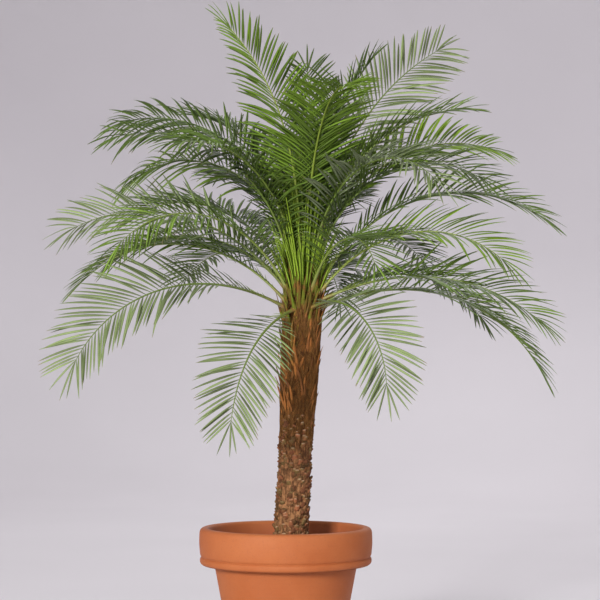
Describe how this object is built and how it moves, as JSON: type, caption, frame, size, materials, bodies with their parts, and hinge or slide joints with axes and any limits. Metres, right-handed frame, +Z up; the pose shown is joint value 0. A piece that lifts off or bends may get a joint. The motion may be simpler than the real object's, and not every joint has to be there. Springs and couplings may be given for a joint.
{
  "type": "potted phoenix palm",
  "caption": "Young feather-leaved palm with a single leaning trunk and a full crown of arched fronds, in a round clay pot filled with soil.",
  "frame": {"origin": "middle of the pot's flat underside", "axes": "+Z up along the pot's axis, -Y is the side the plant is seen from, +X to its right, where the trunk leans"},
  "size_m": [1.208, 1.0582, 1.5525],
  "materials": {
    "clay": "matt unglazed clay",
    "soil": "rough dark earth",
    "bark": "rough fibrous bark with old leaf stubs",
    "frond": "satin green leaf"
  },
  "bodies": {
    "root": {"frond_01": "frond", "frond_02": "frond", "frond_02_end": "frond", "frond_03": "frond", "frond_04": "frond", "frond_05": "frond", "frond_06": "frond", "frond_07": "frond", "frond_08": "frond", "frond_08_end": "frond", "frond_09": "frond", "frond_10": "frond", "frond_11": "frond", "frond_12": "frond", "frond_13": "frond", "frond_13_end": "frond", "frond_14": "frond", "frond_14_end": "frond", "frond_15": "frond", "frond_15_end": "frond", "frond_16": "frond", "frond_17": "frond", "frond_18": "frond", "frond_18_end": "frond", "frond_19": "frond", "frond_20": "frond", "frond_21": "frond", "frond_21_end": "frond", "frond_22": "frond", "frond_23": "frond", "frond_24": "frond", "frond_25": "frond", "frond_26": "frond", "frond_27": "frond", "frond_28": "frond", "frond_29": "frond", "frond_30": "frond", "frond_31": "frond", "frond_32": "frond", "frond_33": "frond", "frond_34": "frond", "frond_35": "frond", "frond_36": "frond", "frond_37": "frond", "pot": "clay", "soil": "soil", "trunk": "bark"}
  },
  "joints": []
}
